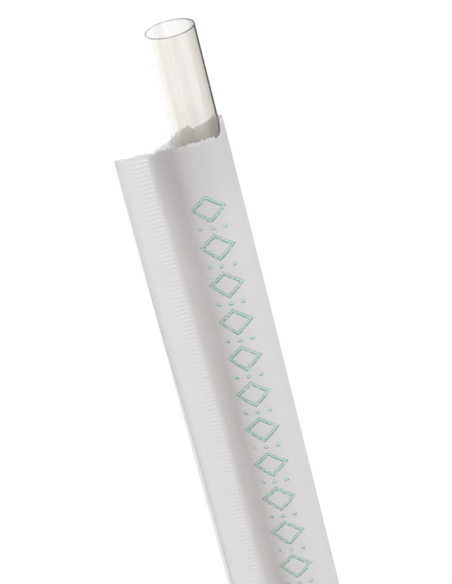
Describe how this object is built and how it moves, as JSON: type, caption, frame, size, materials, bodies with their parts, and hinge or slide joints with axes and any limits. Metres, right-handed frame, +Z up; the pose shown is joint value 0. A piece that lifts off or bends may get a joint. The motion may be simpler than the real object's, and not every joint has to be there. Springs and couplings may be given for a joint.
{
  "type": "wrapped drinking straw",
  "caption": "Clear straight drinking straw standing out of the torn end of its crimped white paper wrapper, lying on its side.",
  "frame": {"origin": "centre of the footprint, on the surface that the wrapped straw lies on", "axes": "+X along the straw, out of its open mouth; +Y across, to the crimped flange; +Z up"},
  "size_m": [0.21, 0.0154, 0.0064],
  "materials": {
    "straw_plastic": "gloss",
    "wrapper_paper": "matt"
  },
  "bodies": {
    "root": {"straw": "straw_plastic", "paper_wrapper": "wrapper_paper"}
  },
  "joints": []
}
